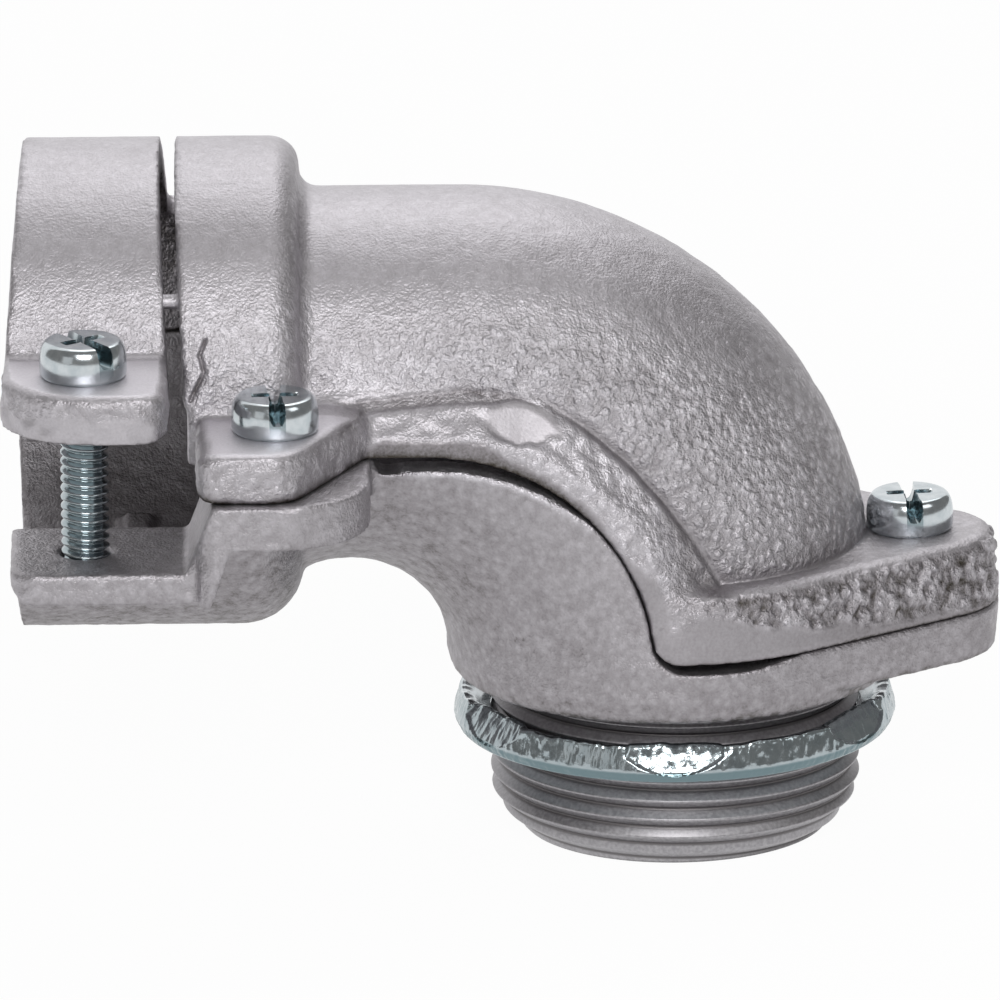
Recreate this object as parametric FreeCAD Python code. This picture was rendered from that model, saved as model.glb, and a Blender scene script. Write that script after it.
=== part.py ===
import FreeCAD, Part
import math
import os

# Right-angle squeeze connector for flexible metal conduit, trade size 1 1/4, all sizes in mm.
# The origin lies on the hub axis in the plane of the hub shoulder, +Z points away from the box wall,
# the conduit enters along -X and the screws stand on the -Y side.

# hub and locknut
hub_r = 21.0             # crest radius of the 1 1/4 straight pipe thread
hub_len = 18.9           # shoulder to hub end
hub_end_chamfer = 3.4    # axial height of the tapered hub end
hub_end_r = 17.4         # outer radius at the hub end face
throat_r = 16.0          # wire way through the hub
throat_round = 1.2       # bevelled wire edge at the hub end
throat_top_z = 3.0       # the throat widens into the elbow above this height
groove_drop = 0.4        # the thread groove that starts the free hub end lies this far below the locknut
groove_deep = 1.1
groove_root = 0.3        # flat at the root of the 60 degree groove
nut_play = 0.06          # radial play of the locknut on the hub
nut_r = 25.25
nut_top = -2.7           # highest point of the dished rim
nut_thick = 4.3
nut_rim = 0.9            # flat top of the rim
nut_bevel_w = 1.4        # bevel under the rim
nut_bevel_h = 1.1
nut_dish = 1.6           # rim stands this far above the inner top edge
nut_notches = 6
nut_notch_deg = 25.0
nut_notch_depth = 1.9
nut_notch_top = 0.6      # the notch floor starts to slope this far below the rim
nut_notch_foot = 0.9     # and runs out this far above the underside

# flange round the hub, shared by both castings
flange_r = 25.7
shoulder_r = 25.4        # seat of the hub on the box wall
heel_x = 27.0            # heel screw axis
heel_r = 9.6             # plan radius of the heel lug
heel_under_z = 1.4       # underside of the heel lug
heel_part_z = 7.2        # parting plane at the heel
heel_cover_t = 8.3       # cover flange thickness at the heel
flange_draft = 0.5       # growth of the outline from an outer edge to the parting plane
under_edge = 1.0         # cast edge rounding of the body flange
top_edge = 1.9           # cast edge rounding of the cover flange
heel_relief = 1.1        # the body flange lies this far below the cover beside the hub
heel_relief_x = 15.0     # the two flanges meet from here to the heel

# conduit axis, elbow and parting line
inlet_z = 33.8           # conduit axis above the shoulder
bend_r = 25.3            # centreline radius of the elbow
dome_out = 0.7           # the cover dome stands this far out toward the heel
tube_r = 22.0            # outer radius of the cover dome
dome_sweep_deg = 94.0    # the dome runs on into the heel flange
bore_r = 18.6            # inner radius of the elbow
saddle_x = -36.8         # centre of the inner bend of the body
saddle_z = 2.8
saddle_r = 10.9          # outer radius of the inner bend
saddle_tube_r = 26.0     # outer radius of the body round the bend
saddle_wall = 4.2
saddle_from_deg = -38.0  # the bend starts inside the inlet ring, measured from upright
saddle_sweep_deg = 128.0
hollow_sweep_deg = 74.0  # sweep of the hollow inside the bend
part_z = 32.1            # contact plane of the two castings at the inlet
part_arc_x = -27.6       # centre of the curved parting line of the cover
part_arc_r = 25.4
rim_relief = 2.5         # the body rim lies this far below the contact plane beside the lug
rim_ramp = 1.2           # over this length
joint_gap = 0.12         # gap along the curved parting line
rim_join_deg = 42.0      # the relief runs out at this place of the curved parting line
heel_corner_r = 3.4      # rounded inner corner of the cover at the heel
heel_fillet_r = 4.2      # matching hollow of the body

# lip of the cover along the parting line
lip_y = 25.8
lip_foot_r = 19.8        # inner edge of the lip, hidden behind the parting line
lip_face_r = 25.7        # top of the upright face, measured from the bend centre
lip_top_r = 31.3         # where the lip meets the dome, measured from the bend centre
lip_in_y = 20.9

# inlet ring with its integral strap
ring_r = 27.75
seat_r = 24.0            # radius of the conduit seat
seat_end_x = -47.1       # conduit stop
stop_bevel = 0.9         # bevels of the stop
mouth_x = -73.6          # strap edge at the top of the ring
mouth_lean = 0.06        # the mouth side of the strap widens downward by this slope
mouth_skew_deg = 1.6     # and runs slightly out toward the screw side
slot_x = -58.0           # strap edge beside the slot, at the top of the ring
slot_w = 1.75
slot_lean = 0.05
slot_far_deg = 57.0      # the slot ends this far past the top on the far side
ring_end_x = -42.2       # end face of the cover ring
ring_end_round = 3.4
ring_end_fillet = 2.0    # hollow between ring and dome
body_ring_x = -42.0      # end of the body ring
body_ring_round = 7.0
body_mouth_x = -75.3     # body mouth at the parting plane
body_mouth_lean = 0.05

# lugs and ledge on the screw side
screw_y = -32.3
front_y = -41.5          # front of ledge and strap lug
strap_screw_x = -66.4
strap_lug_z = 38.9       # underside of the strap lug
strap_lug_t = 5.6
strap_lug_round = 11.0   # mouth-side corner of the strap lug in plan
strap_lug_corner = 3.6
lug_root_y = -14.0       # lugs are rooted in the ring behind this line
cover_screw_x = -44.8
cover_lug_z = 37.8       # top of the cover lug
cover_lug_r = 10.6
cover_lug_x = -53.7      # straight end of the cover lug beside the slot
lug_corner = 2.6
lug_nose_x = 2.0         # the front of the cover lug ends this far past its screw
lug_nose_r = 4.5
lug_side_y = 6.0         # and its slanting side ends this far behind the screw
lug_side_r = 2.5
ledge_z = 23.6           # top of the body ledge under the strap lug
window_y = -8.0          # the body side is open above the ledge, from this line outward
ledge_t = 3.7
rim_t = 5.2              # thickness of the body rim under the cover lug
rim_out = 1.0            # the body rim stands this far in front of the cover lug
ledge_end_x = -54.9      # foot of the sloping step from ledge to rim
step_run = 2.9
step_foot = 2.6          # underside of the step, measured along the ledge
step_head = 2.2
ledge_corner = 3.4
ledge_under_edge = 1.6   # bevelled lower edge of the ledge at the mouth
edge_r = 1.1             # cast edge rounding of lugs and ledge

# grip ribs in the trough of the body
trough_r = 25.2          # the trough lies below the conduit, which rests on the ribs
rib_x = -61.2
rib_w = 4.6
rib_top = 0.6            # share of the rib width at its crest
rib_from_deg = 4.0       # one grip rib on each side of the trough bottom, from here
rib_to_deg = 34.0        # to here

# screws, 12-24 binding head with slot and cross recess
shank_r = 2.74
tap_play = 0.06
clear_r = 3.1
head_r = 4.95
head_h = 4.15
head_band = 2.2          # upright side of the head
head_top_r = 4.15
head_round = 1.2         # rounding of the head shoulder
tip_bevel = 0.6
drive_w = 1.5
drive_deep = 2.3
cross_w = 1.3
cross_r = 2.9
cross_deep = 1.5
head_relief = 5.3        # spot relief that lets a head pass the cast walls
strap_screw_len = 24.6
lug_screw_len = 9.5
heel_screw_len = 12.7
strap_drive_deg = -56.0
cover_drive_deg = 94.0
heel_drive_deg = -83.0

# values that follow from the sizes above
elbow_x = -bend_r
elbow_z = inlet_z - bend_r
part_arc_z = part_z - part_arc_r
heel_top_z = heel_part_z + heel_cover_t
nut_low_z = nut_top - nut_thick
far = 120.0
root = 0.5               # features of one casting run this far into each other


def V(x, y, z):
    return FreeCAD.Vector(x, y, z)


def line(a, b):
    return Part.makeLine(a, b)


def arc(a, b, c):
    return Part.Arc(a, b, c).toShape()


def outline(corners, place):
    """Face from (a, b) or (a, b, corner radius) tuples; place(a, b) gives the point in space."""
    points = [place(*c[:2]) for c in corners]
    ends = []
    for i, corner in enumerate(corners):
        p = points[i]
        if len(corner) == 2:
            ends.append((p, p, p))
            continue
        a = (points[i - 1] - p).normalize()
        b = (points[(i + 1) % len(points)] - p).normalize()
        half = 0.5 * a.getAngle(b)
        back = corner[2] / math.tan(half)
        inward = (a + b).normalize()
        ends.append((p + a * back, p + inward * (corner[2] / math.sin(half) - corner[2]), p + b * back))
    edges = []
    for i, (start, mid, end) in enumerate(ends):
        if start != end:
            edges.append(arc(start, mid, end))
        edges.append(line(end, ends[(i + 1) % len(ends)][0]))
    return Part.Face(Part.Wire(edges))


def side_prism(corners, y0, y1):
    """Side view outline from (x, z) corners, extruded along Y."""
    return outline(corners, lambda x, z: V(x, y0, z)).extrude(V(0, y1 - y0, 0))


def plan_prism(corners, z0, z1):
    """Plan outline from (x, y) corners, extruded along Z."""
    return outline(corners, lambda x, y: V(x, y, z0)).extrude(V(0, 0, z1 - z0))


def about_inlet(corners):
    """Solid of revolution round the conduit axis from (x, radius) corners."""
    face = outline(corners, lambda x, r: V(x, 0, inlet_z + r))
    return face.revolve(V(0, 0, inlet_z), V(1, 0, 0), 360)


def about_hub(corners):
    """Solid of revolution round the hub axis from (radius, z) corners."""
    return outline(corners, lambda r, z: V(r, 0, z)).revolve(V(0, 0, 0), V(0, 0, 1), 360)


def inlet_sector(from_deg, to_deg):
    """Wedge round the conduit axis; 0 deg points down and the angle grows toward the far side."""
    a, b = math.radians(from_deg), math.radians(to_deg)
    corners = [(0, 0), (far * math.sin(a), -far * math.cos(a)), (far * math.sin(b), -far * math.cos(b))]
    return outline(corners, lambda y, z: V(-far, y, inlet_z + z)).extrude(V(2 * far, 0, 0))


def post(x, y, r, z0, z1):
    return Part.makeCylinder(r, z1 - z0, V(x, y, z0))


def bend(cx, cz, centre_r, r, start_deg, sweep_deg):
    """Round tube bent about the Y direction through (cx, cz); 0 deg stands upright over the centre."""
    ring = Part.Circle(V(cx, 0, cz + centre_r), V(1, 0, 0), r).toShape()
    disc = Part.Face(Part.Wire([ring]))
    disc.rotate(V(cx, 0, cz), V(0, 1, 0), start_deg)
    return disc.revolve(V(cx, 0, cz), V(0, 1, 0), sweep_deg)


def on_arc(radius, deg):
    """Point of the side view on a circle round the centre of the curved parting line."""
    a = math.radians(deg)
    return V(part_arc_x + radius * math.cos(a), -far, part_arc_z + radius * math.sin(a))


def down_to_heel(radius, from_deg, floor_z, corner_r):
    """Parting line round the bend, with a rounded corner onto the heel plane; returns edges and end."""
    run = radius + corner_r
    rise = floor_z + corner_r - part_arc_z
    corner = V(part_arc_x + math.sqrt(run * run - rise * rise), -far, floor_z + corner_r)
    touch_deg = math.degrees(math.asin(rise / run))
    half = math.radians(0.5 * (touch_deg + 180.0 + 270.0))
    mid = corner + V(corner_r * math.cos(half), 0, corner_r * math.sin(half))
    touch = on_arc(radius, touch_deg)
    end = V(corner.x, -far, floor_z)
    edges = [
        arc(on_arc(radius, from_deg), on_arc(radius, 0.5 * (from_deg + touch_deg)), touch),
        arc(touch, mid, end),
    ]
    return edges, end


def chain(points):
    return [line(a, b) for a, b in zip(points, points[1:])]


def cover_space():
    """Everything above the parting line of the cover."""
    edges, low = down_to_heel(part_arc_r, 90, heel_part_z, heel_corner_r)
    start = on_arc(part_arc_r, 90)
    edges += chain([
        low, V(far, -far, heel_part_z), V(far, -far, far), V(-far, -far, far), V(-far, -far, part_z), start])
    return Part.Face(Part.Wire(edges)).extrude(V(0, 2 * far, 0))


def body_space():
    """Everything below the parting line of the body, which runs a little lower beside the lug."""
    radius = part_arc_r - joint_gap
    low_z = heel_part_z - heel_relief
    edges, low = down_to_heel(radius, rim_join_deg, low_z, heel_fillet_r)
    lug_end = V(cover_screw_x + cover_lug_r, -far, part_z)
    rim = V(lug_end.x + rim_ramp, -far, part_z - rim_relief)
    rim_deg = math.degrees(math.atan2(rim.z - part_arc_z, rim.x - part_arc_x))
    half_deg = 0.5 * (rim_deg + rim_join_deg)
    relief = arc(rim, on_arc(radius - 0.5 * rim_relief, half_deg), on_arc(radius, rim_join_deg))
    rise_x = 0.5 * (low.x + heel_relief_x)
    edges = [relief] + edges + chain([
        low, V(rise_x, -far, low_z), V(heel_relief_x, -far, heel_part_z), V(far, -far, heel_part_z),
        V(far, -far, -far), V(-far, -far, -far), V(-far, -far, part_z), lug_end, rim])
    return Part.Face(Part.Wire(edges)).extrude(V(0, 2 * far, 0))


def level_edges(solid, z):
    """Edges that lie in the plane z."""
    return [e for e in solid.Edges if abs(e.BoundBox.ZMax - z) + abs(e.BoundBox.ZMin - z) < 0.01]


def flange_wire(z, grow):
    """Round flange with a heel lug, joined by tangents."""
    big = flange_r + grow
    small = heel_r + grow
    a = math.acos((big - small) / heel_x)
    c, s = math.cos(a), math.sin(a)
    p1, p2 = V(big * c, big * s, z), V(heel_x + small * c, small * s, z)
    q1, q2 = V(big * c, -big * s, z), V(heel_x + small * c, -small * s, z)
    return Part.Wire([
        arc(p1, V(-big, 0, z), q1),
        line(q1, q2),
        arc(q2, V(heel_x + small, 0, z), p2),
        line(p2, p1),
    ])


def flange(z_edge, z_part, edge):
    """Drafted flange plate between its outer edge and the parting plane, outer edge rounded."""
    plate = Part.makeLoft([flange_wire(z_edge, 0.0), flange_wire(z_part, flange_draft)], True, True)
    return plate.makeFillet(edge, level_edges(plate, z_edge))


def rounded(lug, z):
    """Round the free edges of a lug that lie in the plane z."""
    free = [e for e in level_edges(lug, z) if e.BoundBox.YMin < lug_root_y - root]
    return lug.makeFillet(edge_r, free)


def elbow_bore():
    """Passage shared by both castings: conduit seat, stop, elbow and throat."""
    way = about_inlet([(-far, 0), (-far, seat_r), (seat_end_x - stop_bevel, seat_r),
                       (seat_end_x, seat_r - stop_bevel), (seat_end_x, bore_r + stop_bevel),
                       (seat_end_x + stop_bevel, bore_r), (elbow_x, bore_r), (elbow_x, 0)])
    turn = bend(elbow_x, elbow_z, bend_r, bore_r, 0, 90)
    mouth_r = throat_r + throat_round
    drop = about_hub([(0, -hub_len - 1), (mouth_r, -hub_len - 1), (mouth_r, -hub_len),
                      (throat_r, -hub_len + throat_round), (throat_r, throat_top_z),
                      (bore_r, elbow_z), (0, elbow_z)])
    return way.fuse([turn, drop])


def leaning_edge(top_x, top_z, lean):
    """x of an edge that leans away from the vertical below top_z."""
    return lambda z: top_x + (top_z - z) * lean


def right_of(edge, low_z, high_z):
    return side_prism([(edge(low_z), low_z), (edge(high_z), high_z), (far, high_z), (far, low_z)], -far, far)


def cover():
    top_z = inlet_z + ring_r
    low_z = inlet_z - ring_r
    outer = about_inlet([(-far, 0), (-far, ring_r), (ring_end_x, ring_r, ring_end_round),
                         (ring_end_x, tube_r, ring_end_fillet), (elbow_x + dome_out, tube_r),
                         (elbow_x + dome_out, 0)])
    dome = bend(elbow_x + dome_out, elbow_z, bend_r, tube_r, 0, dome_sweep_deg)
    lip_section = outline([(-lip_y, lip_foot_r), (-lip_y, lip_face_r), (-lip_in_y, lip_top_r),
                           (lip_in_y, lip_top_r), (lip_y, lip_face_r), (lip_y, lip_foot_r)],
                          lambda y, r: V(elbow_x, y, elbow_z + r))
    lip = lip_section.revolve(V(elbow_x, 0, elbow_z), V(0, 1, 0), 90)
    lip_straight = lip_section.extrude(V(ring_end_x - ring_end_round - elbow_x, 0, 0))
    heel = flange(heel_top_z, heel_part_z, top_edge)

    lug_side_x = cover_screw_x + cover_lug_r - rim_out / 2
    lug_front_y = screw_y - cover_lug_r
    lug = plan_prism([(cover_lug_x, lug_root_y), (cover_lug_x, lug_front_y, lug_corner),
                      (cover_screw_x + lug_nose_x, lug_front_y, lug_nose_r),
                      (lug_side_x, screw_y + lug_side_y, lug_side_r), (lug_side_x, lug_root_y)],
                     part_z, cover_lug_z)
    lug = rounded(lug, cover_lug_z)

    mouth = leaning_edge(mouth_x, top_z, -mouth_lean)
    slot_edge = leaning_edge(slot_x, top_z, slot_lean)
    lug_x0 = mouth(strap_lug_z) + front_y * math.tan(math.radians(mouth_skew_deg))
    lug_x1 = slot_edge(strap_lug_z)
    lug_top_z = strap_lug_z + strap_lug_t
    strap_lug = plan_prism([(lug_x0, lug_root_y), (lug_x0, front_y, strap_lug_round),
                            (lug_x1, front_y, strap_lug_corner), (lug_x1, lug_root_y)],
                           strap_lug_z, lug_top_z)
    strap_lug = rounded(strap_lug, lug_top_z)

    span = right_of(mouth, low_z - 1, top_z + 1)
    span.rotate(V(mouth_x, 0, 0), V(0, 0, 1), -mouth_skew_deg)
    whole = outer.fuse([dome, lip, lip_straight, heel, lug, strap_lug])
    whole = whole.common(cover_space()).common(span).cut(elbow_bore())

    slot = right_of(slot_edge, low_z - 1, top_z + 1)
    beside = slot.copy()
    beside.translate(V(slot_w, 0, 0))
    slot = slot.cut(beside).cut(inlet_sector(0, 180 - slot_far_deg))
    gap_len = slot_edge(part_z) + slot_w + far
    squeeze_gap = Part.makeBox(gap_len, far, strap_lug_z - low_z, V(-far, -far, low_z))
    whole = whole.cut([slot, squeeze_gap])

    drills = [
        post(strap_screw_x, screw_y, clear_r, strap_lug_z - 1, lug_top_z + 1),
        post(cover_screw_x, screw_y, clear_r, part_z - 1, cover_lug_z + 1),
        post(heel_x, 0, clear_r, heel_part_z - 1, heel_top_z + 1),
        post(strap_screw_x, screw_y, head_relief, lug_top_z, far),
        post(cover_screw_x, screw_y, head_relief, cover_lug_z, far),
        post(heel_x, 0, head_relief, heel_top_z, far),
    ]
    return whole.cut(drills).removeSplitter()


def hub():
    """Threaded hub as a plain crest cylinder, with the thread groove where its free end starts."""
    groove_z = nut_low_z - groove_drop
    slope = groove_deep * math.tan(math.radians(30))
    groove_r = hub_r - groove_deep
    return about_hub([(0, root), (hub_r, root), (hub_r, groove_z), (groove_r, groove_z - slope),
                      (groove_r, groove_z - slope - groove_root), (hub_r, groove_z - 2 * slope - groove_root),
                      (hub_r, -hub_len + hub_end_chamfer), (hub_end_r, -hub_len), (0, -hub_len)])


def body():
    saddle_mid_r = saddle_r + saddle_tube_r
    shell = bend(saddle_x, saddle_z, saddle_mid_r, saddle_tube_r, saddle_from_deg, saddle_sweep_deg)
    foot = flange(heel_under_z, heel_part_z, under_edge)
    collar = about_hub([(0, 0), (shoulder_r - root, 0), (shoulder_r, root), (saddle_tube_r, saddle_z),
                        (0, saddle_z)])
    ring = about_inlet([(-far, 0), (-far, ring_r), (body_ring_x, ring_r, body_ring_round), (body_ring_x, 0)])

    mouth = leaning_edge(body_mouth_x, part_z, body_mouth_lean)
    under_z = ledge_z - ledge_t
    x0, x1 = mouth(ledge_z), cover_screw_x + cover_lug_r
    step_x = ledge_end_x + step_run
    band = side_prism([(x0, ledge_z), (ledge_end_x, ledge_z), (step_x, part_z), (x1, part_z),
                       (x1, part_z - rim_t), (step_x + step_head, part_z - rim_t),
                       (ledge_end_x + step_foot, under_z), (x0 + ledge_under_edge, under_z),
                       (x0, under_z + ledge_under_edge)], -far, lug_root_y)
    rim_front_y = screw_y - cover_lug_r - rim_out
    ledge_plan = plan_prism([(x0, lug_root_y), (x0, front_y, ledge_corner), (cover_screw_x, front_y),
                             (cover_screw_x, lug_root_y)], under_z - 1, part_z + 1)
    lug_plan = plan_prism([(cover_lug_x, lug_root_y), (cover_lug_x, rim_front_y, lug_corner),
                           (x1, rim_front_y, cover_lug_r), (x1, lug_root_y)], under_z - 1, part_z + 1)
    band = band.common(ledge_plan.fuse(lug_plan))

    whole = shell.fuse([foot, collar, hub(), ring, band])
    whole = whole.common(body_space()).common(right_of(mouth, -hub_len - 1, part_z + 1))
    hollow = bend(saddle_x, saddle_z, saddle_mid_r, saddle_tube_r - saddle_wall, 0, hollow_sweep_deg)
    window = side_prism([(-far, ledge_z), (ledge_end_x, ledge_z), (step_x, part_z), (step_x, part_z + 1),
                         (-far, part_z + 1)], -far, window_y)
    trough = about_inlet([(-far, 0), (-far, trough_r), (seat_end_x, trough_r), (seat_end_x, 0)])
    whole = whole.cut([elbow_bore(), trough, hollow, window])

    half = rib_w / 2.0
    crest = half * rib_top
    rib = about_inlet([(rib_x - half, trough_r + root), (rib_x - half, trough_r), (rib_x - crest, seat_r),
                       (rib_x + crest, seat_r), (rib_x + half, trough_r), (rib_x + half, trough_r + root)])
    near_rib = rib.common(inlet_sector(-rib_to_deg, -rib_from_deg))
    far_rib = rib.common(inlet_sector(rib_from_deg, rib_to_deg))
    whole = whole.fuse([near_rib, far_rib])

    tap_r = shank_r + tap_play
    drills = [
        post(strap_screw_x, screw_y, tap_r, under_z - 1, ledge_z + 1),
        post(cover_screw_x, screw_y, tap_r, part_z - 2 * rim_t, part_z + 1),
        post(heel_x, 0, tap_r, -1, heel_part_z + 1),
    ]
    return whole.cut(drills).removeSplitter()


def screw(x, y, seat_z, length, drive_deg):
    """Binding-head screw seated at seat_z with its drive slot turned to drive_deg."""
    solid = about_hub([(0, -length), (shank_r - tip_bevel, -length), (shank_r, -length + tip_bevel),
                       (shank_r, 0), (head_r, 0), (head_r, head_band, head_round), (head_top_r, head_h),
                       (0, head_h)])
    slot = Part.makeBox(4 * head_r, drive_w, drive_deep, V(-2 * head_r, -drive_w / 2, head_h - drive_deep))
    cross_a = Part.makeBox(2 * cross_r, cross_w, cross_deep, V(-cross_r, -cross_w / 2, head_h - cross_deep))
    cross_b = Part.makeBox(cross_w, 2 * cross_r, cross_deep, V(-cross_w / 2, -cross_r, head_h - cross_deep))
    solid = solid.cut([slot, cross_a, cross_b])
    solid.rotate(V(0, 0, 0), V(0, 0, 1), drive_deg)
    solid.translate(V(x, y, seat_z))
    return solid


def locknut():
    inner = hub_r + nut_play
    ring = about_hub([(inner, nut_low_z), (nut_r - nut_bevel_w, nut_low_z), (nut_r, nut_low_z + nut_bevel_h),
                      (nut_r, nut_top), (nut_r - nut_rim, nut_top), (inner, nut_top - nut_dish)])
    half = nut_r * math.sin(math.radians(nut_notch_deg / 2))
    floor_r = nut_r - nut_notch_depth
    foot_z = nut_low_z + nut_notch_foot
    side = [(floor_r, nut_top + 1), (nut_r + 2, nut_top + 1), (nut_r + 2, foot_z), (nut_r, foot_z),
            (floor_r, nut_top - nut_notch_top)]
    notch = outline(side, lambda r, z: V(r, -half, z)).extrude(V(0, 2 * half, 0))
    notches = []
    for i in range(nut_notches):
        one = notch.copy()
        one.rotate(V(0, 0, 0), V(0, 0, 1), -90 + i * 360.0 / nut_notches)
        notches.append(one)
    return ring.cut(notches)


os.makedirs("parts", exist_ok=True)
pieces = {
    "body_casting": body(),
    "cover_casting": cover(),
    "strap_screw": screw(strap_screw_x, screw_y, strap_lug_z + strap_lug_t, strap_screw_len, strap_drive_deg),
    "cover_screw": screw(cover_screw_x, screw_y, cover_lug_z, lug_screw_len, cover_drive_deg),
    "heel_screw": screw(heel_x, 0, heel_top_z, heel_screw_len, heel_drive_deg),
    "locknut": locknut(),
}
for name, shape in pieces.items():
    shape.exportStep("parts/" + name + ".step")
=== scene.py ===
# %% [markdown]
# A right-angle squeeze connector for flexible metal conduit, shown as it leaves the plating shop.
# Two sand castings of malleable iron are zinc plated, then three screws and a locknut of bright
# zinc-plated steel are put on. The CAD solids carry every size, so this script only dresses them:
# it roughens the castings, cuts the threads, turns the screw heads and shears the locknut.

# %% load the solids
import math

import bmesh
import bpy
import numpy as np
from mathutils import Matrix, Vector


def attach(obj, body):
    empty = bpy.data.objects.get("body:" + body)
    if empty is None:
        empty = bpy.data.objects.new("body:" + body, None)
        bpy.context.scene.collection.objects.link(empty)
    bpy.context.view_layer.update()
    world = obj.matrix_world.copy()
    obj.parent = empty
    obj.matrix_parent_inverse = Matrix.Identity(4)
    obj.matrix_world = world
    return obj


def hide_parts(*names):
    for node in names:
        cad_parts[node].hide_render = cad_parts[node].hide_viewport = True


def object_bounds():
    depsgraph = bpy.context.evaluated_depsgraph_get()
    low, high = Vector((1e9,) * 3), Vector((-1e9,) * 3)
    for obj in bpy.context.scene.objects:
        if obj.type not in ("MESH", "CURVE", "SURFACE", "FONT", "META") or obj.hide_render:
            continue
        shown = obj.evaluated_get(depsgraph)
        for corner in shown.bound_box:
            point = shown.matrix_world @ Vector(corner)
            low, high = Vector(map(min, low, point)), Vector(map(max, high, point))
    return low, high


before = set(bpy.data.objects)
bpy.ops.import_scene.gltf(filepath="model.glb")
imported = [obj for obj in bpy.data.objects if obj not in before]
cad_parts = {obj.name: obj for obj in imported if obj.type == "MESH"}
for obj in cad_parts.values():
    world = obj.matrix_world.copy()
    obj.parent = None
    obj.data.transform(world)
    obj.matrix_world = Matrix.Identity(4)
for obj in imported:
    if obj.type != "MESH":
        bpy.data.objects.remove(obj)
cad_box = [list(corner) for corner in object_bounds()]
MM = 0.001
print("solids:", sorted(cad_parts))

# %% [markdown]
# Every new piece is a surface over two parameters. A grid of points becomes a mesh with one quad per
# grid cell. Where a direction closes on itself the last row is joined to the first, and a row that
# ends on an axis is closed by a fan round one point, so no hole stays open. Stock shapes with modifiers
# could make some pieces, but a formula keeps every size in sight.

# %% grid to mesh
def grid_faces(rows, cols, close_rows):
    """Quads between neighbouring grid points; columns always close into a ring, rows may."""
    i = np.arange(rows if close_rows else rows - 1)[:, None]
    j = np.arange(cols)[None, :]
    a = i * cols + j
    b = i * cols + (j + 1) % cols
    c = (i + 1) % rows * cols + (j + 1) % cols
    d = (i + 1) % rows * cols + j
    return np.stack([a, b, c, d], -1).reshape(-1, 4)


def mesh_object(name, points, faces, material):
    """Object at the origin whose place is in its mesh; points in mm, faces as lists of indices."""
    mesh = bpy.data.meshes.new(name)
    mesh.from_pydata((np.asarray(points) * MM).tolist(), [], faces)
    mesh.polygons.foreach_set("use_smooth", np.ones(len(mesh.polygons), bool))
    mesh.materials.append(material)
    mesh.validate()
    piece = bpy.data.objects.new(name, mesh)
    bpy.context.scene.collection.objects.link(piece)
    return piece


def ring_surface(name, points, material, close_rows=False, cap_ends=False):
    """Mesh of a (rows, columns, 3) grid that goes round an axis; cap_ends closes both end rows."""
    rows, cols = points.shape[:2]
    faces = grid_faces(rows, cols, close_rows).tolist()
    flat = points.reshape(-1, 3)
    if cap_ends:
        ends = np.stack([points[0].mean(0), points[-1].mean(0)])
        j = np.arange(cols)
        k = (j + 1) % cols
        last = (rows - 1) * cols
        n = len(flat)
        faces += np.stack([k, j, np.full(cols, n)], -1).tolist()
        faces += np.stack([last + j, last + k, np.full(cols, n + 1)], -1).tolist()
        flat = np.concatenate([flat, ends])
    return mesh_object(name, flat, faces, material)


def mark(mesh, label, values):
    """Writes one number per vertex as an attribute; points past the end of values, such as caps, get 0."""
    column = np.zeros(len(mesh.vertices), np.float32)
    column[:np.size(values)] = np.ravel(values)
    mesh.attributes.new(label, "FLOAT", "POINT").data.foreach_set("value", column)


print("quads of a ring of 3 rows and 4 columns:", len(grid_faces(3, 4, False)))

# %% [markdown]
# Colours are written as sRGB hex and turned to linear light in one place. One helper adds a node with
# its settings and links, so each finish below reads as a short list of nodes.

# %% colours and nodes
def colour(hex_code):
    """Linear RGBA from sRGB hex: c/12.92 below 0.04045, otherwise ((c + 0.055)/1.055)^2.4."""
    c = np.array([int(hex_code[i:i + 2], 16) for i in (0, 2, 4)]) / 255.0
    lin = np.where(c <= 0.04045, c / 12.92, ((c + 0.055) / 1.055) ** 2.4)
    return (*lin.tolist(), 1.0)


def node(tree, kind, settings=None, **inputs):
    """Adds a node; settings are its own properties, inputs are socket values or (node, socket) links.

    An input is named as the socket is, with _ for a blank, or by its number as _0, _1 and so on.
    """
    made = tree.nodes.new(kind)
    for key, value in (settings or {}).items():
        setattr(made, key, value)
    for key, value in inputs.items():
        socket = made.inputs[int(key[1:])] if key[1:].isdigit() else made.inputs[key.replace("_", " ")]
        if isinstance(value, tuple) and isinstance(value[0], bpy.types.Node):
            tree.links.new(value[0].outputs[value[1]], socket)
        else:
            socket.default_value = value
    return made


def new_material(name):
    """Material with an empty node tree and its output node."""
    made = bpy.data.materials.new(name)
    made.use_nodes = True
    made.node_tree.nodes.clear()
    return made, made.node_tree, made.node_tree.nodes.new("ShaderNodeOutputMaterial")


print("linear value of a mid grey:", colour("808080")[0])

# %% [markdown]
# The castings are malleable iron with electroplated zinc. Zinc follows the sand grain, so the eye sees
# a matt, slightly warm grey that glitters a little on the crests and darkens in the pits. Two numbers
# ride on each vertex: "skin", 1 on the raw cast skin and 0 where it was ground or machined, and "tone",
# how light the metal is there, with painted light and shade added in some places. They let one finish
# serve both castings, where a painted image would need a flat layout of the surface first. Grains too
# small for the mesh are a bump: fine grit everywhere, and sand pebbles where the skin is raw.

# %% zinc-plated cast iron
GRIT_MM, SAND_MM, SPECK_MM, CLOUD_MM = 0.32, 0.95, 0.8, 6.0
GRAIN_RELIEF_MM = 0.28


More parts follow.
